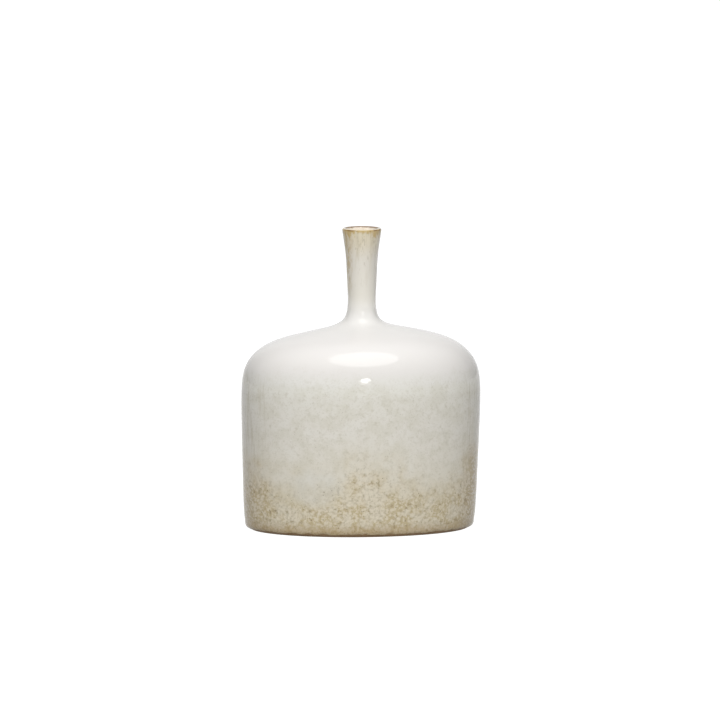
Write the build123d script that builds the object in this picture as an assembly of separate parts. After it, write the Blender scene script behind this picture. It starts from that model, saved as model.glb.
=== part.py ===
"""Flattened oval bottle vase in glazed stoneware.

The vessel stands on the XY plane with +Z up. Its widest section is centred on the Z axis, with
the long side of the oval along X and the short side along Y. Four fired clay sections (base
slab, body wall, shoulder and neck) are luted together with lapped joints, and two coats of
glaze cover them: one outside, down to the bare foot, and one inside.
"""
import os
from math import cos, pi, radians, sin

from build123d import *

# Driving dimensions, in millimetres and degrees.
HEIGHT = 305.0
HALF_WIDTH = 121.4
WIDEST_HEIGHT = 137.0
FLATTENING = 0.568
LEAN = 0.0107
SHOULDER_TILT = 1.35

NECK_RADIUS = 14.2
NECK_HEIGHT = 233.0
LIP_RADIUS = 19.8
LIP_THICKNESS = 4.2
LIP_FLARE = 6.0

WALL = 5.4
GLAZE = 0.6
LINER = 0.4
BARE_FOOT = 1.8
FLOOR = 9.0
FLOOR_CORNER = 8.0
WALL_START = 20.0
WALL_TAPER = 0.4
THROAT_START = 17.0
THROAT_FILLET_WIDTH = 2.6
THROAT_FILLET_HEIGHT = 4.4
BORE_RADIUS = 9.8
BORE_BOTTOM = 214.0
BORE_TOP = 252.0

FOOT_RING = 13.0
RECESS_DEPTH = 2.0
RECESS_TAPER = 35.0

BASE_JOINT = 6.0
SHOULDER_JOINT = 152.0
LAP = 4.0
SECTION_SPACING = 5.0
FLANGE_HALF_WIDTH = 26.0
SPIGOT_HALF_WIDTH = 22.5
FLANGE_SEAT = 206.2

# Outer outline of the glazed vessel as (half width, height): from the foot up to the narrowest
# place of the neck, and from there up towards the lip.
BODY_OUTLINE = [
    (110.0, 0.0),
    (114.2, 1.6),
    (116.3, 7.0),
    (118.7, 40.0),
    (120.6, 95.0),
    (HALF_WIDTH, WIDEST_HEIGHT),
    (118.3, 163.0),
    (109.5, 178.0),
    (94.0, 189.4),
    (74.0, 196.5),
    (54.0, 201.1),
    (36.0, 204.9),
    (24.0, 208.9),
    (17.6, 214.1),
    (15.1, 221.0),
    (14.35, 227.5),
    (NECK_RADIUS, NECK_HEIGHT),
]
NECK_OUTLINE = [
    (NECK_RADIUS, NECK_HEIGHT),
    (14.9, 250.0),
    (16.0, 272.0),
    (17.7, 288.0),
]

UPRIGHT = (0, 1)
FLARED = (sin(radians(LIP_FLARE)), cos(radians(LIP_FLARE)))
LIP_CENTRE = (LIP_RADIUS - LIP_THICKNESS / 2, HEIGHT - LIP_THICKNESS / 2)
NECK_AXIS_X = LEAN * (BORE_BOTTOM - WIDEST_HEIGHT)


def fullness(half_width, neck_radius):
    """How far a section has grown from the neck, 0, towards the widest section, 1."""
    return (half_width - neck_radius) / (HALF_WIDTH - NECK_RADIUS)


def inset(body_depth, neck_depth):
    """Evenly spaced points of the body's outline, moved inwards, less deep towards the neck."""
    curve = Spline(*BODY_OUTLINE)
    count = round(curve.length / SECTION_SPACING)
    moved = []
    for step in range(count + 1):
        point = curve @ (step / count)
        direction = curve % (step / count)
        growth = fullness(point.X, NECK_RADIUS)
        depth = neck_depth + (body_depth - neck_depth) * growth
        moved.append((point.X - direction.Y * depth, point.Y + direction.X * depth))
    return moved


def oval(half_width, neck_radius):
    """A cross-section's outline: round at the neck's radius, and flatter the wider it is."""
    return Ellipse(half_width, neck_radius + (half_width - neck_radius) * FLATTENING)


def section(half_width, height, neck_radius):
    """One oval cross-section, leaning with the body and tilted a little on the shoulder."""
    growth = fullness(half_width, neck_radius)
    tilt = 0.0
    if height > WIDEST_HEIGHT and 0.0 < growth < 1.0:
        tilt = radians(SHOULDER_TILT) * sin(pi * growth**0.55)
    plane = Plane(
        origin=(LEAN * (min(height, BORE_BOTTOM) - WIDEST_HEIGHT), 0, height),
        x_dir=(cos(tilt), 0, sin(tilt)),
        z_dir=(-sin(tilt), 0, cos(tilt)),
    )
    return plane * oval(half_width, neck_radius)


def body_form(outline):
    """Solid body through the sections of an outline that ends at the neck."""
    neck_radius = outline[-1][0]
    return loft([section(half_width, height, neck_radius) for half_width, height in outline])


def outer_body(depth):
    """Solid vessel below the narrowest place, a given depth under the glaze's surface."""
    outline = inset(depth, depth)
    outline[0] = (outline[0][0], 0.0)
    outline[-1] = (NECK_RADIUS - depth, NECK_HEIGHT)
    return body_form(outline)


def hollow_body(liner):
    """Solid that fills the hollow below the narrowest place, up to the clay or to its liner."""
    bore = BORE_RADIUS + liner
    fillet = (bore + THROAT_FILLET_WIDTH, BORE_BOTTOM - THROAT_FILLET_HEIGHT)
    inside = inset(GLAZE + WALL + LINER - liner, NECK_RADIUS - bore)
    wall = [point for point in inside if point[1] > WALL_START and point[0] > THROAT_START]
    floor = FLOOR + LINER - liner
    corner_width = wall[0][0] - WALL_TAPER
    outline = []
    for degrees in (0, 30, 60, 90):
        turn = radians(degrees)
        half_width = corner_width - FLOOR_CORNER * (1 - sin(turn))
        outline.append((half_width, floor + FLOOR_CORNER * (1 - cos(turn))))
    outline += wall
    outline += [fillet, (bore, BORE_BOTTOM)]
    throat = Pos(NECK_AXIS_X, 0, BORE_BOTTOM) * Cylinder(
        bore, NECK_HEIGHT - BORE_BOTTOM, align=(Align.CENTER, Align.CENTER, Align.MIN)
    )
    return body_form(outline) + throat


def lip_point(depth, angle):
    """A point on the rounded lip, a given depth under the glaze's surface."""
    radius = LIP_THICKNESS / 2 - depth
    turn = radians(angle)
    return (LIP_CENTRE[0] + radius * cos(turn), LIP_CENTRE[1] + radius * sin(turn))


def outer_side(depth):
    """Outside of the neck in section, from the narrowest place up to the crest of the lip."""
    points = [(radius - depth, height) for radius, height in NECK_OUTLINE]
    flare = Spline(*points, lip_point(depth, -LIP_FLARE), tangents=[UPRIGHT, FLARED])
    lip = CenterArc(LIP_CENTRE, LIP_THICKNESS / 2 - depth, -LIP_FLARE, 90 + LIP_FLARE)
    return [flare, lip]


def inner_side(liner, lip_depth):
    """Inside of the neck in section, from the narrowest place up to the crest of the lip."""
    bore = BORE_RADIUS + liner
    straight = Line((bore, NECK_HEIGHT), (bore, BORE_TOP))
    lip_start = lip_point(lip_depth, 180 - LIP_FLARE)
    flare = Spline((bore, BORE_TOP), lip_start, tangents=[UPRIGHT, FLARED])
    lip = CenterArc(LIP_CENTRE, LIP_THICKNESS / 2 - lip_depth, 90, 90 - LIP_FLARE)
    return [straight, flare, lip]


def neck_ring(outside, inside, outer_crest, inner_crest):
    """Turn the area between two sides of the neck's section about the neck's own axis."""
    edges = outside + inside + [Line(outside[0] @ 0, inside[0] @ 0)]
    if outer_crest != inner_crest:
        edges.append(Line(lip_point(outer_crest, 90), lip_point(inner_crest, 90)))
    profile = Plane.XZ * make_face(Curve() + edges)
    return Pos(NECK_AXIS_X, 0, 0) * revolve(profile, Axis.Z)


def half_width_at(height):
    """Half width of the outer outline at a height, taken straight between its points."""
    for (width_below, below), (width_above, above) in zip(BODY_OUTLINE, BODY_OUTLINE[1:]):
        if below <= height <= above:
            return width_below + (width_above - width_below) * (height - below) / (above - below)


def below_joint(height):
    """Everything under a wall joint: all below its height, with a lap that stands up inside it."""
    middle = half_width_at(height) - GLAZE - WALL / 2
    block = Pos(0, 0, height - HEIGHT / 2) * Box(4 * HALF_WIDTH, 4 * HALF_WIDTH, HEIGHT)
    return block + extrude(section(middle, height, NECK_RADIUS), LAP)


def neck_space():
    """The room of the neck: its oval flange sits on a ledge round the hole in the shoulder."""
    flange = Pos(0, 0, FLANGE_SEAT) * extrude(oval(FLANGE_HALF_WIDTH, NECK_RADIUS), HEIGHT)
    spigot = Pos(0, 0, SHOULDER_JOINT) * extrude(oval(SPIGOT_HALF_WIDTH, NECK_RADIUS), HEIGHT)
    return Pos(NECK_AXIS_X, 0, 0) * (flange + spigot)


def foot_recess():
    """The shallow oval hollow cut under the base, which leaves the foot ring around it."""
    mouth = section(BODY_OUTLINE[0][0] - FOOT_RING, 0.0, NECK_RADIUS)
    return extrude(mouth, RECESS_DEPTH, taper=RECESS_TAPER)


def make_clay():
    """The fired clay vessel in one piece, before it is divided at its joints."""
    body = outer_body(GLAZE) - hollow_body(LINER) - foot_recess()
    ring = neck_ring(outer_side(GLAZE), inner_side(LINER, GLAZE), GLAZE, GLAZE)
    return body + ring


def make_outer_glaze():
    """The outer coat, from the bare foot up over the outside to the crest of the lip."""
    bare = Box(4 * HALF_WIDTH, 4 * HALF_WIDTH, 2 * BARE_FOOT)
    body = outer_body(0.0) - outer_body(GLAZE) - bare
    return body + neck_ring(outer_side(0.0), outer_side(GLAZE), 0.0, GLAZE)


def make_inner_glaze():
    """The liner coat, from the crest of the lip down the bore and over the inside."""
    body = hollow_body(LINER) - hollow_body(0.0)
    return body + neck_ring(inner_side(LINER, GLAZE), inner_side(0.0, 0.0), GLAZE, 0.0)


clay = make_clay()
base_space = below_joint(BASE_JOINT)
wall_space = below_joint(SHOULDER_JOINT)
upper_clay = clay - wall_space

parts = {
    "base_slab": clay & base_space,
    "body_wall": (clay & wall_space) - base_space,
    "shoulder": upper_clay - neck_space(),
    "neck": upper_clay & neck_space(),
    "outer_glaze": make_outer_glaze(),
    "inner_glaze": make_inner_glaze(),
}

os.makedirs("parts", exist_ok=True)
for name, part in parts.items():
    export_step(part, f"parts/{name}.step")
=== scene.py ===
"""Looks of the flattened oval stoneware bottle vase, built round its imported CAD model."""
from math import cos, pi, radians, sin

import bmesh
import bpy
import numpy as np
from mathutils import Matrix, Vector, noise


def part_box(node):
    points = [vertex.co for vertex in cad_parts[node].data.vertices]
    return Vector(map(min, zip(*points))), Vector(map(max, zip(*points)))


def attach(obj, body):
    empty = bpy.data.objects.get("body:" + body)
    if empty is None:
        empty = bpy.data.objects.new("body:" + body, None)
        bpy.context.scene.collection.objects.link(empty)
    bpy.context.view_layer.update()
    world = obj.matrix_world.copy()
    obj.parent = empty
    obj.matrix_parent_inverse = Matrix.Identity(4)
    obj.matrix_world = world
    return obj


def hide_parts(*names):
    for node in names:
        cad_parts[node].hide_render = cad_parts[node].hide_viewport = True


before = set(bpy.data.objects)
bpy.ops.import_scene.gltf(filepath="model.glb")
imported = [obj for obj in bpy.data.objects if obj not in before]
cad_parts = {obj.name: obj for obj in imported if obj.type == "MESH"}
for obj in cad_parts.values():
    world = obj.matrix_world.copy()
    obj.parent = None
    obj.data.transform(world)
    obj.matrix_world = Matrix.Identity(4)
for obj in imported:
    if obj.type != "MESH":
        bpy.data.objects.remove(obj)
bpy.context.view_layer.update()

MM = 0.001

# The vessel's sizes, in millimetres and degrees, as the CAD model has them.
GLAZE_LOW, GLAZE_HIGH = [np.array(corner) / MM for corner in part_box("outer_glaze")]
LEAN_SPREAD = 0.05
HALF_WIDTH = (GLAZE_HIGH[0] - GLAZE_LOW[0]) / 2 - LEAN_SPREAD
HEIGHT = GLAZE_HIGH[2]
BARE_FOOT = GLAZE_LOW[2]
WIDEST_HEIGHT = 137.0
FLATTENING = 0.568
LEAN = 0.0107
SHOULDER_TILT = 1.35
NECK_RADIUS = 14.2
NECK_HEIGHT = 233.0
LIP_RADIUS = 19.8
LIP_THICKNESS = 4.2
LIP_FLARE = 6.0
GLAZE = 0.6
LINER = 0.4
WALL = 5.4
FLOOR = 9.0
FLOOR_CORNER = 8.0
BORE_RADIUS = 9.8
BORE_BOTTOM = 214.0
BORE_TOP = 252.0
FOOT_RING = 13.0
RECESS_DEPTH = 2.0
BASE_JOINT = 6.0
LAP = 4.0

# Outer outline of the glazed vessel as (half width, height), up to where the lip rounds over.
OUTLINE = [
    (110.0, 0.0),
    (114.2, 1.6),
    (116.3, 7.0),
    (118.7, 40.0),
    (120.6, 95.0),
    (HALF_WIDTH, WIDEST_HEIGHT),
    (118.3, 163.0),
    (109.5, 178.0),
    (94.0, 189.4),
    (74.0, 196.5),
    (54.0, 201.1),
    (36.0, 204.9),
    (24.0, 208.9),
    (17.6, 214.1),
    (15.1, 221.0),
    (14.35, 227.5),
    (NECK_RADIUS, NECK_HEIGHT),
    (14.9, 250.0),
    (16.0, 272.0),
    (17.7, 288.0),
]
LIP_CENTRE = np.array((LIP_RADIUS - LIP_THICKNESS / 2, HEIGHT - LIP_THICKNESS / 2))

# The inside follows the outline from this height up to this half width, and a fillet joins it to
# the bore.
INSIDE_START = 36.0
INSIDE_END = 26.0
INSIDE_TAPER = 2.0
THROAT_FILLET = (2.6, 4.4)
# Worn edge of the recess as (distance out from the foot ring's inside, height).
RECESS_EDGE = [(-1.6, RECESS_DEPTH - 0.3), (-0.6, RECESS_DEPTH - 1.1), (0.3, 0.45), (1.5, 0.05)]

# Columns of each swept mesh, and the unevenness of the hand-made surfaces, in millimetres: broad
# and fine waves, the thick roll of glaze over the foot, the glaze's lower edge, and the recess.
GLAZE_COLUMNS = 384
LINER_COLUMNS = 192
FOOT_COLUMNS = 256
BROAD_WAVE, BROAD_WAVE_INWARD, BROAD_WAVE_NECK, BROAD_WAVE_BODY = 62.0, 0.6, 0.04, 0.12
FINE_WAVE, FINE_WAVE_BODY = 17.0, 0.03
ROLL_HEIGHT, ROLL_SPREAD, ROLL_DEPTH, ROLL_UNEVEN = 4.6, 2.2, 0.22, 0.16
EDGE_REACH, EDGE_RISE, EDGE_UNEVEN = 5.0, 0.4, 3.6
RECESS_WAVE, RECESS_UNEVEN = 14.0, 0.12
# The base's width divided by its depth, for the toasted edge of the clay.
WIDTH_TO_DEPTH = 1.62

# Camera and light, in metres, degrees and watts. Azimuth 0 is in front, on the -Y side.
MIDDLE = (0.0, 0.0, HEIGHT / 2 * MM)
CAMERA_AZIMUTH = -5.16
CAMERA_ELEVATION = 7.14
CAMERA_DISTANCE = 6.0
CAMERA_LENS = 295.9
CAMERA_TARGET = (-0.001, 0.0, 0.1697)
FLOOR_SIDE = 60.0
FLOOR_DROP = 0.0002
FLOOR_GLOW = 1.0
ROOM = 0.13
SKY = 0.25
BACK_WALL = 0.8
# Each lamp's name, azimuth, elevation, distance, size, power, shape and whether it is reflected.
LAMPS = [
    ("softbox", 4.5, 53.0, 1.3, (0.92, 1.0), 5.2, "ELLIPSE", True),
    ("front_lamp", 4.0, 8.0, 3.2, (0.32, 0.3), 3.4, "ELLIPSE", True),
    ("front_fill", -7.0, 25.0, 2.4, (1.6, 1.2), 37.6, "RECTANGLE", False),
]

# Display colours, 0 to 255 a channel: by height in millimetres, then by what they colour.
# Glaze tones by height are partly painted light: the white shoulder and its sharp fade to the
# grey wall near 147 to 156 mm stand in for the overhead light, and the shoulder stops are set to
# even out the lamps' shading. The rest is the glaze's own colour.
GLAZE_TONES_AND_LIGHT = [
    (0.0, (190, 173, 138)),
    (15.0, (202, 190, 160)),
    (34.0, (210, 201, 178)),
    (62.0, (221, 216, 204)),
    (112.0, (221, 217, 207)),
    (138.0, (221, 218, 208)),
    (147.0, (227, 225, 216)),
    (156.0, (234, 232, 226)),
    (168.0, (233, 230, 226)),
    (192.0, (237, 234, 231)),
    (215.0, (235, 233, 229)),
    (240.0, (222, 218, 207)),
    (270.0, (219, 214, 203)),
    (298.0, (218, 208, 184)),
]
# Liner tones by height: darker down the bore as painted shade, lighter towards the mouth.
LINER_TONES_AND_SHADE = [
    (0.0, (196, 180, 150)),
    (150.0, (205, 192, 166)),
    (250.0, (222, 208, 182)),
    (285.0, (240, 228, 210)),
    (300.0, (246, 236, 222)),
]
TONE = {
    "stain": (202, 198, 179),
    "milk": (226, 225, 217),
    "fleck": (196, 191, 174),
    "fine": (188, 182, 162),
    "mist": (228, 225, 216),
    "side_run": (176, 165, 136),
    "haze": (210, 203, 180),
    "pale_ground": (212, 202, 180),
    "tan_ground": (190, 171, 126),
    "toasted": (184, 163, 120),
    "pale_crystal": (224, 215, 195),
    "olive_vein": (160, 145, 108),
    "brown_vein": (168, 147, 112),
    "olive": (124, 110, 76),
    "fog": (217, 217, 211),
    "speck": (112, 98, 72),
    "neck_run": (186, 175, 144),
    "neck_dash": (164, 152, 126),
    "neck_streak": (186, 162, 108),
    "lip_tan": (190, 162, 98),
    "lip_line": (134, 100, 56),
    "lip_crest_and_highlight": (238, 229, 210),
    "foot_tan": (170, 147, 106),
    "foot_dot": (142, 116, 72),
    "foot_edge": (138, 108, 58),
    "liner_cloud": (186, 166, 130),
    "liner_streak": (206, 190, 158),
    "liner_lip": (128, 96, 58),
    "clay_light": (176, 148, 114),
    "clay_dark": (150, 120, 88),
    "clay_grit": (120, 92, 64),
    "clay_pale_grit": (198, 174, 140),
    "clay_iron": (72, 52, 38),
    "clay_toasted": (128, 98, 54),
    "paper_light": (128, 128, 128),
    "paper_dark": (118, 118, 118),
}


# ---------------------------------------------------------------- outlines


def lip_point(depth, angle):
    """A point on the rounded lip in section, a given depth under the glaze's surface."""
    radius = LIP_THICKNESS / 2 - depth
    return LIP_CENTRE + radius * np.array((cos(radians(angle)), sin(radians(angle))))


def smooth_line(points, step, start=None, end=None):
    """Points along a natural cubic spline, about one step apart. start and end fix its slopes."""
    points = np.array(points, float)
    knots = np.r_[0, np.cumsum(np.linalg.norm(np.diff(points, axis=0), axis=1) ** 0.75)]
    gaps = np.diff(knots)
    slopes = np.diff(points, axis=0) / gaps[:, None]
    size = len(points)
    matrix = np.zeros((size, size))
    right = np.zeros((size, 2))
    matrix[0, 0] = matrix[-1, -1] = 1
    for i in range(1, size - 1):
        matrix[i, i - 1 : i + 2] = gaps[i - 1], 2 * (gaps[i - 1] + gaps[i]), gaps[i]
        right[i] = 6 * (slopes[i] - slopes[i - 1])
    if end is not None:
        speed = np.linalg.norm(slopes[-1])
        matrix[-1, -2:] = gaps[-1], 2 * gaps[-1]
        right[-1] = 6 * (np.array(end) * speed - slopes[-1])
    if start is not None:
        speed = np.linalg.norm(slopes[0])
        matrix[0, :2] = 2 * gaps[0], gaps[0]
        right[0] = 6 * (slopes[0] - np.array(start) * speed)
    bends = np.linalg.solve(matrix, right)
    line = []
    for i, gap in enumerate(gaps):
        count = max(int(round(np.linalg.norm(points[i + 1] - points[i]) / step)), 3)
        for t in np.arange(count)[:, None] / count * gap:
            line.append(
                points[i]
                + (slopes[i] - gap * (2 * bends[i] + bends[i + 1]) / 6) * t
                + bends[i] / 2 * t**2
                + (bends[i + 1] - bends[i]) / (6 * gap) * t**3
            )
    line.append(points[-1])
    return np.array(line)


def inward(line, depth):
    """A line moved to its left, which is into the vessel on a line that runs up the outside."""
    along = np.gradient(line, axis=0)
    along /= np.linalg.norm(along, axis=1)[:, None]
    return line + np.stack([-along[:, 1], along[:, 0]], axis=1) * np.reshape(depth, (-1, 1))


def outer_line(depth, step):
    """Up the outside from the foot to the crest of the lip."""
    flare = (sin(radians(LIP_FLARE)), cos(radians(LIP_FLARE)))
    side = smooth_line(OUTLINE + [tuple(lip_point(0, -LIP_FLARE))], step, end=flare)
    lip = np.array([lip_point(0, angle) for angle in np.linspace(-LIP_FLARE, 90, 14)[1:]])
    return inward(np.vstack([side, lip]), depth)


def fullness(half_width):
    """How far a section has grown from the neck, 0, towards the widest section, 1."""
    return np.clip((half_width - NECK_RADIUS) / (HALF_WIDTH - NECK_RADIUS), 0, 1)


def inner_line(liner, step=3.0):
    """From the crest of the lip down the bore and the inside to the middle of the floor."""
    bore = BORE_RADIUS + liner
    lip_depth = GLAZE if liner else 0.0
    lip = [lip_point(lip_depth, angle) for angle in np.linspace(90, 180 - LIP_FLARE, 12)]
    flare = (-sin(radians(LIP_FLARE)), -cos(radians(LIP_FLARE)))
    throat = smooth_line([lip[-1], (bore, BORE_TOP)], 1.5, start=flare, end=(0, -1))[1:]
    outside = outer_line(0, step)
    neck_depth = NECK_RADIUS - bore
    body_depth = GLAZE + WALL + LINER - liner
    depth = neck_depth + (body_depth - neck_depth) * fullness(outside[:, 0])
    wall = inward(outside, depth)
    kept = (wall[:, 1] > INSIDE_START) & (outside[:, 0] > INSIDE_END)
    wall = wall[kept & (outside[:, 1] < BORE_BOTTOM)]
    floor = FLOOR + LINER - liner
    corner_middle = (wall[0][0] - INSIDE_TAPER - FLOOR_CORNER, floor + FLOOR_CORNER)
    corner = []
    for angle in np.linspace(0, -90, 8):
        turn = radians(angle)
        corner.append(
            (
                corner_middle[0] + FLOOR_CORNER * cos(turn),
                corner_middle[1] + FLOOR_CORNER * sin(turn),
            )
        )
    body = smooth_line(
        [(bore, BORE_BOTTOM), (bore + THROAT_FILLET[0], BORE_BOTTOM - THROAT_FILLET[1])]
        + [tuple(point) for point in wall[::-8]]
        + corner[:1],
        step,
        start=(0, -1),
        end=(0, -1),
    )
    rings = np.linspace(corner[-1][0], 0, 24)[1:]
    flat = np.stack([rings, np.full(len(rings), floor)], axis=1)
    return np.vstack([lip, throat, body, corner[1:], flat])


def foot_line():
    """Round the base slab in section: recess, foot ring, bare edge, joint, lap and floor."""
    ring_inside = OUTLINE[0][0] - FOOT_RING
    outside = outer_line(GLAZE, 0.8)
    outside[0, 1] = 0.0
    edge = outside[outside[:, 1] < BASE_JOINT]
    joint = edge[-1][0]
    lap = joint - WALL / 2
    floor_edge = joint - WALL - FLOOR_CORNER
    recess = [(x, RECESS_DEPTH) for x in np.linspace(0, ring_inside - 3.0, 20)]
    ring = [(ring_inside + x, height) for x, height in RECESS_EDGE]
    ring += [(x, 0.0) for x in np.linspace(ring_inside + 2.6, edge[0][0] - 1.0, 6)]
    top = [
        (joint, BASE_JOINT),
        (lap, BASE_JOINT),
        (lap, BASE_JOINT + LAP),
        (floor_edge + FLOOR_CORNER * 0.5, BASE_JOINT + LAP),
        (floor_edge, FLOOR),
    ]
    top += [(x, FLOOR) for x in np.linspace(floor_edge - 3.0, 0, 12)]
    return np.vstack([recess, ring, edge, top])


# ---------------------------------------------------------------- meshes


def swept(line, round_radius, round_height, columns):
    """Points of an outline carried round the vessel's oval sections: rows, columns, xyz."""
    half_width, height = line[:, :1], line[:, 1:]
    turn = np.linspace(0, 2 * pi, columns, endpoint=False)[None, :]
    flat = round_radius + (half_width - round_radius) * FLATTENING
    is_round = (height >= round_height) | (half_width <= round_radius)
    half_depth = np.where(is_round, half_width, flat)
    growth = fullness(half_width)
    leaning = (height > WIDEST_HEIGHT) & (height < NECK_HEIGHT)
    tilt = np.where(leaning, radians(SHOULDER_TILT) * np.sin(pi * growth**0.55), 0)
    across = half_width * np.cos(turn)
    lean = LEAN * (np.minimum(height, BORE_BOTTOM) - WIDEST_HEIGHT)
    return np.stack(
        [
            across + lean,
            half_depth * np.sin(turn),
            height + np.tan(tilt) * across,
        ],
        axis=2,
    )


def outward(points):
    """Unit normals of a swept grid."""
    along = np.gradient(points, axis=0)
    around = np.roll(points, -1, axis=1) - np.roll(points, 1, axis=1)
    normals = np.cross(around, along)
    return normals / np.maximum(np.linalg.norm(normals, axis=2, keepdims=True), 1e-9)


def waves(points, size, offset):
    """Smooth noise, about -1 to 1, with waves of about a size in millimetres."""
    shift = Vector((offset, offset * 1.7, offset * 0.6))
    flat = [noise.noise(Vector(point) / size + shift) for point in points.reshape(-1, 3)]
    return np.array(flat).reshape(points.shape[:2])


def grid_mesh(name, points, closed_rows):
    """A mesh object from rows of points round the vessel, in millimetres."""
    rows, columns = points.shape[:2]
    index = np.arange(rows * columns).reshape(rows, columns)
    upper = np.roll(index, -1, axis=0) if closed_rows else index[1:]
    lower = index if closed_rows else index[:-1]
    quads = np.stack(
        [lower, np.roll(lower, -1, axis=1), np.roll(upper, -1, axis=1), upper], axis=2
    )
    mesh = bpy.data.meshes.new(name)
    mesh.from_pydata((points.reshape(-1, 3) * MM).tolist(), [], quads.reshape(-1, 4).tolist())
    piece = bpy.data.objects.new(name, mesh)
    bpy.context.scene.collection.objects.link(piece)
    return piece


def finish_mesh(piece, sharp_angle=50):
    """Weld the poles, turn the faces outwards, and shade smooth with the true edges kept."""
    work = bmesh.new()
    work.from_mesh(piece.data)
    bmesh.ops.remove_doubles(work, verts=work.verts, dist=1e-6)
    bmesh.ops.recalc_face_normals(work, faces=work.faces)
    for face in work.faces:
        face.smooth = True
    for edge in work.edges:
        edge.smooth = edge.calc_face_angle(0) < radians(sharp_angle)
    work.to_mesh(piece.data)
    work.free()
    return piece


def make_glaze_skin():
    """The outer coat: slightly wavy, with a thick ragged roll above the bare foot."""
    outside = outer_line(0, 1.6)
    outside = outside[outside[:, 1] > BARE_FOOT + 0.2]
    inside = outer_line(GLAZE, 6.0)
    inside = inside[inside[:, 1] > BARE_FOOT + 0.6][::-1]
    line = np.vstack([outside, inside])
    rows = len(outside)
    points = swept(line, NECK_RADIUS, NECK_HEIGHT, GLAZE_COLUMNS)
    normals = outward(points[:rows])
    height = points[:rows, :, 2]
    # The waves are full on the body, slight on the neck and none at the lip.
    body = np.clip((215 - height) / 25, 0, 1)
    calm_lip = np.clip((HEIGHT - height) / 12, 0, 1)
    depth = BROAD_WAVE_NECK + BROAD_WAVE_BODY * body
    wave = (waves(points[:rows], BROAD_WAVE, 3.0) - BROAD_WAVE_INWARD) * depth
    wave += waves(points[:rows], FINE_WAVE, 9.0) * FINE_WAVE_BODY * body
    ragged = waves(points[:rows], 9.0, 21.0) + 0.6 * waves(points[:rows], 3.6, 14.0)
    roll = np.exp(-(((height - ROLL_HEIGHT) / ROLL_SPREAD) ** 2))
    roll = roll * (ROLL_DEPTH + ROLL_UNEVEN * ragged)
    points[:rows] += normals * ((wave + roll) * calm_lip)[:, :, None]
    # The lower edge is uneven on the two broad faces and even round the narrow sides.
    edge = np.clip(1 - (points[:, :, 2] - BARE_FOOT) / EDGE_REACH, 0, 1) ** 2
    shift = np.broadcast_to(ragged[0], edge.shape)
    middle = np.clip(1.15 - np.abs(points[:, :, 0]) / 105.0, 0, 1)
    points[:, :, 2] += edge * middle * (EDGE_RISE + EDGE_UNEVEN * np.clip(shift, -0.1, 1))
    return finish_mesh(grid_mesh("glaze_skin", points, True))


def make_liner_skin():
    """The liner coat, with its clay side, from the crest of the lip to the floor."""
    face = swept(inner_line(0.0), BORE_RADIUS, BORE_BOTTOM, LINER_COLUMNS)
    back = swept(inner_line(LINER, 6.0), BORE_RADIUS + LINER, BORE_BOTTOM, LINER_COLUMNS)
    return finish_mesh(grid_mesh("liner_skin", np.concatenate([face, back[::-1]]), True))


def make_foot():
    """The base slab with its bare foot ring, slightly uneven from trimming."""
    points = swept(foot_line(), NECK_RADIUS, NECK_HEIGHT, FOOT_COLUMNS)
    height = points[:, :, 2]
    recessed = (height > 1.5) & (height < RECESS_DEPTH + 0.01)
    points[:, :, 2] += np.where(recessed, RECESS_UNEVEN * waves(points, RECESS_WAVE, 5.0), 0)
    return finish_mesh(grid_mesh("foot_slab", points, False), 35)


# ---------------------------------------------------------------- materials


def linear(colour):
    """A display colour, 0 to 255 a channel, as linear light."""
    values = [channel / 255 for channel in colour]
    return tuple(v / 12.92 if v <= 0.04045 else ((v + 0.055) / 1.055) ** 2.4 for v in values)


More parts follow.
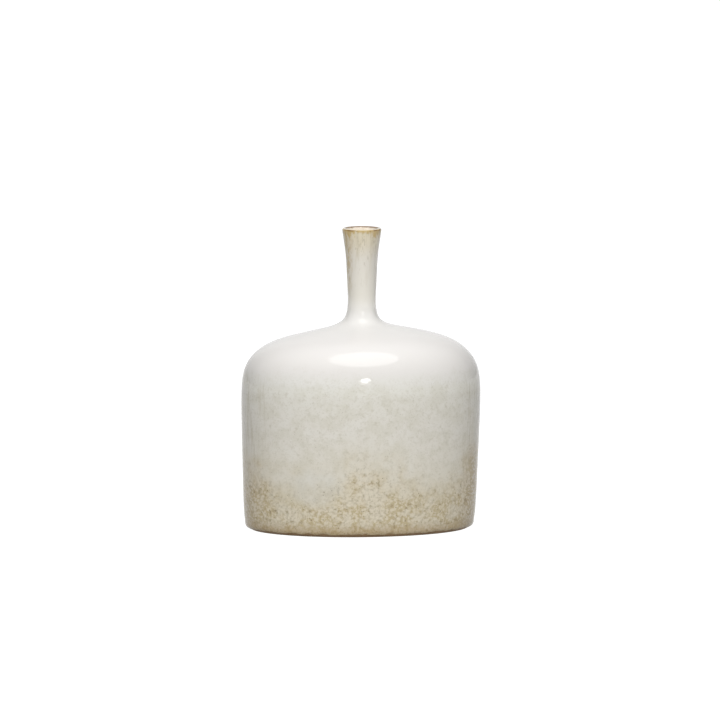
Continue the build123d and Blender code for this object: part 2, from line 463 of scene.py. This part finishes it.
class Shade:
    """A material's node tree, with one short method for each kind of node used here."""

    def __init__(self, name):
        self.material = bpy.data.materials.new(name)
        self.material.use_nodes = True
        self.tree = self.material.node_tree
        self.shader = self.tree.nodes["Principled BSDF"]
        place = self.tree.nodes.new("ShaderNodeTexCoord").outputs["Object"]
        self.place = self.scaled(place, (1 / MM, 1 / MM, 1 / MM))
        split = self.tree.nodes.new("ShaderNodeSeparateXYZ")
        self.link(self.place, split.inputs[0])
        self.x, self.y, self.z = split.outputs

    def link(self, source, socket):
        if isinstance(source, bpy.types.NodeSocket):
            self.tree.links.new(source, socket)
        else:
            socket.default_value = source

    def scaled(self, vector, factors):
        node = self.tree.nodes.new("ShaderNodeVectorMath")
        node.operation = "MULTIPLY"
        self.link(vector, node.inputs[0])
        node.inputs[1].default_value = factors
        return node.outputs[0]

    def moved(self, vector, by, amount):
        node = self.tree.nodes.new("ShaderNodeVectorMath")
        node.operation = "MULTIPLY_ADD"
        self.link(by, node.inputs[0])
        node.inputs[1].default_value = (amount, amount, amount)
        self.link(vector, node.inputs[2])
        return node.outputs[0]

    def sized(self, vector, size, stretch):
        """A place, or the piece's own place in millimetres, counted in units of a size."""
        vector = self.place if vector is None else vector
        return self.scaled(vector, (1 / size, 1 / size, 1 / (size * stretch)))

    def noise(self, size, detail=2.0, rough=0.5, vector=None, stretch=1.0, colour=False):
        node = self.tree.nodes.new("ShaderNodeTexNoise")
        self.link(self.sized(vector, size, stretch), node.inputs["Vector"])
        node.inputs["Scale"].default_value = 1.0
        node.inputs["Detail"].default_value = detail
        node.inputs["Roughness"].default_value = rough
        return node.outputs["Color" if colour else "Fac"]

    def cells(self, size, vector=None):
        node = self.tree.nodes.new("ShaderNodeTexVoronoi")
        self.link(self.sized(vector, size, 1.0), node.inputs["Vector"])
        node.inputs["Scale"].default_value = 1.0
        return node.outputs["Distance"]

    def maths(self, operation, first, second=0.0, third=0.0):
        node = self.tree.nodes.new("ShaderNodeMath")
        node.operation = operation
        for source, socket in zip((first, second, third), node.inputs):
            self.link(source, socket)
        return node.outputs[0]

    def product(self, first, *others):
        """Masks or numbers multiplied together."""
        for other in others:
            first = self.maths("MULTIPLY", first, other)
        return first

    def band(self, value, start, end, low=0.0, high=1.0, smooth=True):
        """value carried from start..end to low..high, and held there outside."""
        node = self.tree.nodes.new("ShaderNodeMapRange")
        node.interpolation_type = "SMOOTHSTEP" if smooth else "LINEAR"
        self.link(value, node.inputs["Value"])
        for socket, number in zip(node.inputs[1:5], (start, end, low, high)):
            socket.default_value = number
        return node.outputs[0]

    def ramp(self, value, start, end, stops):
        """A display colour for each stop of value between start and end."""
        node = self.tree.nodes.new("ShaderNodeValToRGB")
        node.color_ramp.interpolation = "EASE"
        self.link(self.band(value, start, end, smooth=False), node.inputs[0])
        elements = node.color_ramp.elements
        while len(elements) < len(stops):
            elements.new(0.5)
        for element, stop in zip(elements, stops):
            element.position = (stop[0] - start) / (end - start)
        for element, stop in zip(elements, stops):
            element.color = (*linear(stop[1]), 1)
        return node.outputs[0]

    def mix(self, share, first, second):
        """Two colours mixed, each a socket or the name of a tone. A share of 1 is all second."""
        node = self.tree.nodes.new("ShaderNodeMix")
        node.data_type = "RGBA"
        self.link(share, node.inputs[0])
        for source, socket in ((first, node.inputs[6]), (second, node.inputs[7])):
            if isinstance(source, str):
                source = (*linear(TONE[source]), 1)
            self.link(source, socket)
        return node.outputs[2]

    def laid(self, over, tone, mask, amount):
        """A tone laid over a colour, as strong as the amount where the mask is 1."""
        return self.mix(self.product(mask, amount), over, tone)

    def bump(self, height, distance, strength=1.0, under=None):
        node = self.tree.nodes.new("ShaderNodeBump")
        node.inputs["Strength"].default_value = strength
        node.inputs["Distance"].default_value = distance * MM
        self.link(height, node.inputs["Height"])
        if under is not None:
            self.link(under, node.inputs["Normal"])
        return node.outputs[0]

    def done(self, colour, roughness, normal, **constants):
        self.link(colour, self.shader.inputs["Base Color"])
        self.link(roughness, self.shader.inputs["Roughness"])
        self.link(normal, self.shader.inputs["Normal"])
        for socket, number in constants.items():
            self.shader.inputs[socket.replace("_", " ")].default_value = number
        return self.material


def glaze_material():
    """Cream stoneware glaze: white and smooth on the shoulder, partly as painted light, mottled
    towards the foot.
    """
    shade = Shade("cream_glaze")
    x, y, z = shade.x, shade.y, shade.z
    drift = shade.noise(30.0, 2.0, 0.5, colour=True)
    place = shade.moved(shade.place, drift, 9.0)
    cloud = shade.noise(27.0, 3.0, 0.6)
    patch = shade.noise(15.0, 3.0, 0.6, vector=shade.moved(shade.place, drift, -14.0))
    blotch = shade.noise(5.2, 3.0, 0.66, vector=place)
    grain = shade.noise(2.0, 3.0, 0.62, vector=place)
    streak = shade.noise(5.0, 3.0, 0.6, stretch=9.0)
    hair = shade.noise(2.4, 2.0, 0.6, stretch=16.0)

    # Glaze colour by height, with painted light on the shoulder.
    colour = shade.ramp(z, 0.0, HEIGHT, GLAZE_TONES_AND_LIGHT)

    # Grey-green mottles and flecks over the whole wall, fading out where the shoulder turns in.
    wall = shade.band(shade.maths("MULTIPLY_ADD", cloud, 36.0, z), 192.0, 154.0)
    stain = shade.product(shade.band(patch, 0.44, 0.62), wall)
    colour = shade.laid(colour, "stain", stain, 0.3)
    milk = shade.product(shade.band(patch, 0.46, 0.32), wall)
    colour = shade.laid(colour, "milk", milk, 0.24)
    fleck = shade.product(shade.band(blotch, 0.5, 0.75), wall)
    colour = shade.laid(colour, "fleck", fleck, 0.5)
    fine = shade.product(shade.band(grain, 0.52, 0.72), wall)
    colour = shade.laid(colour, "fine", fine, 0.4)
    mist = shade.product(shade.band(grain, 0.46, 0.3), wall)
    colour = shade.laid(colour, "mist", mist, 0.3)

    # Thin upright runs at the two narrow sides, where the glaze flowed fastest.
    side = shade.band(shade.maths("ABSOLUTE", x), 88.0, 116.0)
    flowed = shade.product(shade.band(hair, 0.48, 0.68), side, wall)
    colour = shade.laid(colour, "side_run", flowed, 0.4)

    # The tan and olive crystals: near the foot, higher in the middle and at the narrow sides.
    hill = shade.band(shade.maths("ABSOLUTE", shade.maths("ADD", x, -4.0)), 62.0, 0.0, 0.0, 22.0)
    rise = shade.maths("MULTIPLY_ADD", side, 22.0, hill)
    rise = shade.maths("ADD", rise, shade.band(x, 60.0, 112.0, 0.0, 14.0))
    level = shade.maths("SUBTRACT", shade.maths("MULTIPLY_ADD", cloud, 70.0, z), rise)
    haze = shade.band(level, 138.0, 74.0)
    colour = shade.laid(colour, "haze", haze, 0.28)
    tan = shade.band(level, 106.0, 46.0)
    crystal = shade.cells(3.2, vector=shade.moved(place, shade.noise(3.0, colour=True), 5.0))
    network = shade.maths("MULTIPLY_ADD", crystal, 0.3, shade.product(blotch, 0.32))
    network = shade.maths("MULTIPLY_ADD", grain, 0.4, network)
    ground = shade.mix(shade.band(patch, 0.42, 0.6), "pale_ground", "tan_ground")
    colour = shade.laid(colour, ground, tan, 0.64)
    toasted = shade.product(side, tan, shade.band(x, 0.0, 112.0, 0.5, 0.9))
    colour = shade.mix(toasted, colour, "toasted")
    pale = shade.product(shade.band(network, 0.53, 0.43), tan)
    colour = shade.laid(colour, "pale_crystal", pale, 0.6)
    dark = shade.mix(shade.band(patch, 0.36, 0.62), "olive_vein", "brown_vein")
    veins = shade.product(shade.band(network, 0.51, 0.65), tan)
    colour = shade.laid(colour, dark, veins, 0.45)
    olive = shade.product(shade.band(network, 0.61, 0.69), tan)
    colour = shade.laid(colour, "olive", olive, 0.4)

    # A pale cloud in the glaze on the left of the front face.
    across = shade.product(shade.maths("ADD", x, 52.0), 1 / 26.0)
    up = shade.product(shade.maths("ADD", z, -50.0), 1 / 19.0)
    reach = shade.maths("MULTIPLY_ADD", across, across, shade.product(up, up))
    fog = shade.product(shade.band(reach, 1.6, 0.1), shade.band(y, -20.0, -50.0))
    colour = shade.laid(colour, "fog", fog, 0.4)

    # Small iron specks, a few on the wall and more towards the foot.
    speck_size = shade.maths("MULTIPLY_ADD", tan, 0.1, 0.07)
    near = shade.maths("LESS_THAN", shade.cells(3.8, vector=place), speck_size)
    speck = shade.product(near, wall, shade.band(patch, 0.42, 0.6))
    colour = shade.laid(colour, "speck", speck, 0.6)

    # The neck: thin tan glaze in runs, and stronger down one side.
    drips = shade.noise(3.2, 3.0, 0.6, stretch=2.2)
    up_neck = shade.band(z, 232.0, 296.0)
    runs = shade.product(shade.band(streak, 0.46, 0.7), up_neck)
    colour = shade.laid(colour, "neck_run", runs, 0.5)
    dashes = shade.noise(1.8, 2.0, 0.6, stretch=4.0)
    dashes = shade.product(shade.band(dashes, 0.56, 0.68), up_neck)
    colour = shade.laid(colour, "neck_dash", dashes, 0.4)
    left = shade.product(shade.band(x, -8.0, -14.0), shade.band(z, 228.0, 262.0))
    left = shade.product(left, shade.band(drips, 0.4, 0.58, 0.25))
    colour = shade.laid(colour, "neck_streak", left, 0.75)

    # The lip: a ragged tan band, a broken brown line where the glaze is thinnest, and a pale
    # crest that is partly a painted highlight.
    flank = shade.band(shade.maths("ABSOLUTE", x), 5.0, 15.0, 0.0, 3.0)
    lip_level = shade.maths("MULTIPLY_ADD", drips, 20.0, shade.maths("ADD", z, flank))
    colour = shade.mix(shade.band(lip_level, 308.5, 314.5, 0.0, 0.85), colour, "lip_tan")
    line = shade.product(shade.band(z, 302.6, 303.2), shade.band(z, 304.5, 304.0))
    line = shade.product(line, shade.band(shade.noise(6.0), 0.4, 0.56))
    colour = shade.laid(colour, "lip_line", line, 0.8)
    colour = shade.mix(shade.band(z, 304.0, 304.5, 0.0, 0.85), colour, "lip_crest_and_highlight")

    # The glaze's lower edge: browner and dotted where it thins towards the bare foot.
    foot_level = shade.maths("MULTIPLY_ADD", blotch, 9.0, z)
    colour = shade.mix(shade.band(foot_level, 21.0, 6.5, 0.0, 0.75), colour, "foot_tan")
    dots = shade.product(shade.band(grain, 0.52, 0.62), shade.band(z, 9.0, 3.0))
    colour = shade.laid(colour, "foot_dot", dots, 0.6)
    colour = shade.mix(shade.band(foot_level, 7.4, 5.4, 0.0, 0.9), colour, "foot_edge")

    roughness = shade.maths("MULTIPLY_ADD", grain, 0.03, shade.band(z, 150.0, 15.0, 0.005, 0.22))
    peel = shade.bump(shade.noise(6.0, 2.0, 0.5), 0.02, 0.2)
    pits = shade.product(shade.maths("ADD", fine, network), wall)
    normal = shade.bump(pits, 0.14, 0.45, under=peel)
    return shade.done(colour, roughness, normal, IOR=1.52)


def liner_material():
    """The liner coat: warm cream, browner at the lip, and darker down the bore as painted shade.
    """
    shade = Shade("liner_glaze")
    streak = shade.noise(4.0, 3.0, 0.6, stretch=8.0)
    cloud = shade.noise(9.0, 3.0, 0.6)
    colour = shade.ramp(shade.z, 0.0, HEIGHT, LINER_TONES_AND_SHADE)
    colour = shade.mix(shade.band(cloud, 0.45, 0.75, 0.0, 0.4), colour, "liner_cloud")
    colour = shade.mix(shade.band(streak, 0.5, 0.75, 0.0, 0.3), colour, "liner_streak")
    lip_level = shade.maths("MULTIPLY_ADD", streak, 2.0, shade.z)
    colour = shade.mix(shade.band(lip_level, 304.0, 305.6, 0.0, 0.9), colour, "liner_lip")
    normal = shade.bump(shade.noise(2.4, 2.0, 0.5), 0.04, 0.4)
    return shade.done(colour, shade.band(cloud, 0.3, 0.7, 0.12, 0.24), normal, IOR=1.52)


def clay_material():
    """Bare high-fired stoneware: gritty buff clay, toasted darker beside the glaze."""
    shade = Shade("bare_clay")
    cloud = shade.noise(18.0, 3.0, 0.6)
    grit = shade.noise(1.1, 3.0, 0.65)
    colour = shade.mix(shade.band(cloud, 0.35, 0.68), "clay_light", "clay_dark")
    colour = shade.mix(shade.band(grit, 0.52, 0.7, 0.0, 0.55), colour, "clay_grit")
    colour = shade.mix(shade.band(grit, 0.46, 0.3, 0.0, 0.4), colour, "clay_pale_grit")
    iron = shade.maths("LESS_THAN", shade.cells(3.6), 0.13)
    colour = shade.laid(colour, "clay_iron", iron, 0.75)
    depth = shade.product(shade.y, WIDTH_TO_DEPTH)
    squares = shade.maths("MULTIPLY_ADD", shade.x, shade.x, shade.product(depth, depth))
    reach = shade.maths("SQRT", squares)
    colour = shade.mix(shade.band(reach, 106.0, 112.0, 0.0, 0.75), colour, "clay_toasted")
    height = shade.maths("MULTIPLY_ADD", cloud, 0.6, grit)
    normal = shade.bump(height, 0.22, 0.7)
    return shade.done(colour, shade.band(grit, 0.3, 0.7, 0.62, 0.85), normal, IOR=1.5)


def floor_material():
    """Studio paper with a white glow of its own, so that it stays evenly white far away."""
    shade = Shade("studio_floor")
    paper = shade.noise(3.0, 3.0, 0.6)
    colour = shade.mix(shade.band(paper, 0.3, 0.7), "paper_light", "paper_dark")
    normal = shade.bump(paper, 0.05, 0.2)
    shade.shader.inputs["Emission Color"].default_value = (1, 1, 1, 1)
    roughness = shade.band(paper, 0.3, 0.7, 0.85, 0.95)
    return shade.done(colour, roughness, normal, Emission_Strength=FLOOR_GLOW)


# ---------------------------------------------------------------- stage


def aim(item, target):
    """Point a lamp or camera at a place."""
    way = Vector(target) - item.location
    item.rotation_euler = way.to_track_quat("-Z", "Y").to_euler()


def from_vase(azimuth, elevation, distance, centre):
    """A place round the vase. Azimuth 0 is in front, on the -Y side, and turns towards +X."""
    turn, rise = radians(azimuth), radians(elevation)
    level = distance * cos(rise)
    return Vector(centre) + Vector((level * sin(turn), -level * cos(turn), distance * sin(rise)))


def lamp(name, azimuth, elevation, distance, size, power, shape, glossy):
    """An area lamp aimed at the middle of the vase."""
    light = bpy.data.lights.new(name, "AREA")
    light.shape = shape
    light.size, light.size_y = size
    light.energy = power
    item = bpy.data.objects.new(name, light)
    bpy.context.scene.collection.objects.link(item)
    item.location = from_vase(azimuth, elevation, distance, MIDDLE)
    item.visible_glossy = glossy
    aim(item, MIDDLE)


def make_camera():
    """A long lens from the front, a little to the left of the vase and a little above it."""
    data = bpy.data.cameras.new("camera")
    data.lens = CAMERA_LENS
    data.sensor_width = 36.0
    data.clip_end = 100.0
    item = bpy.data.objects.new("camera", data)
    bpy.context.scene.collection.objects.link(item)
    item.location = from_vase(CAMERA_AZIMUTH, CAMERA_ELEVATION, CAMERA_DISTANCE, MIDDLE)
    aim(item, CAMERA_TARGET)
    bpy.context.scene.camera = item


def make_world():
    """A dim room, brighter overhead, with a white wall behind the vase."""
    world = bpy.data.worlds.new("studio")
    world.use_nodes = True
    tree = world.node_tree
    way = tree.nodes.new("ShaderNodeTexCoord").outputs["Generated"]
    split = tree.nodes.new("ShaderNodeSeparateXYZ")
    tree.links.new(way, split.inputs[0])
    total = tree.nodes.new("ShaderNodeMath")
    patches = (("Z", 0.2, 0.9, ROOM, ROOM + SKY), ("Y", 0.45, 0.95, 0.0, BACK_WALL))
    for (axis, *limits), term in zip(patches, total.inputs):
        patch = tree.nodes.new("ShaderNodeMapRange")
        patch.interpolation_type = "SMOOTHSTEP"
        tree.links.new(split.outputs[axis], patch.inputs["Value"])
        for socket, number in zip(patch.inputs[1:5], limits):
            socket.default_value = number
        tree.links.new(patch.outputs[0], term)
    back = tree.nodes["Background"]
    back.inputs["Color"].default_value = (1, 1, 1, 1)
    tree.links.new(total.outputs[0], back.inputs["Strength"])
    bpy.context.scene.world = world


def make_floor():
    """A wide white floor that glows for the camera and in reflections only."""
    far = FLOOR_SIDE / 2
    mesh = bpy.data.meshes.new("floor")
    corners = [(-far, -far), (far, -far), (far, far), (-far, far)]
    mesh.from_pydata([(x, y, -FLOOR_DROP) for x, y in corners], [], [(0, 1, 2, 3)])
    item = bpy.data.objects.new("floor", mesh)
    bpy.context.scene.collection.objects.link(item)
    mesh.materials.append(floor_material())
    item.visible_diffuse = False


scene = bpy.context.scene
scene.view_settings.view_transform = "Standard"
make_camera()
make_world()
make_floor()
for settings in LAMPS:
    lamp(*settings)

clay = clay_material()
for piece, material, slot_name, node in (
    (make_glaze_skin(), glaze_material(), "outer_glaze", "outer_glaze"),
    (make_liner_skin(), liner_material(), "liner_glaze", "inner_glaze"),
    (make_foot(), clay, "stoneware_clay", "base_slab"),
):
    piece.data.materials.append(material)
    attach(piece, "root")
    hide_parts(node)
for node in ("body_wall", "shoulder", "neck"):
    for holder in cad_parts[node].material_slots:
        holder.material = clay
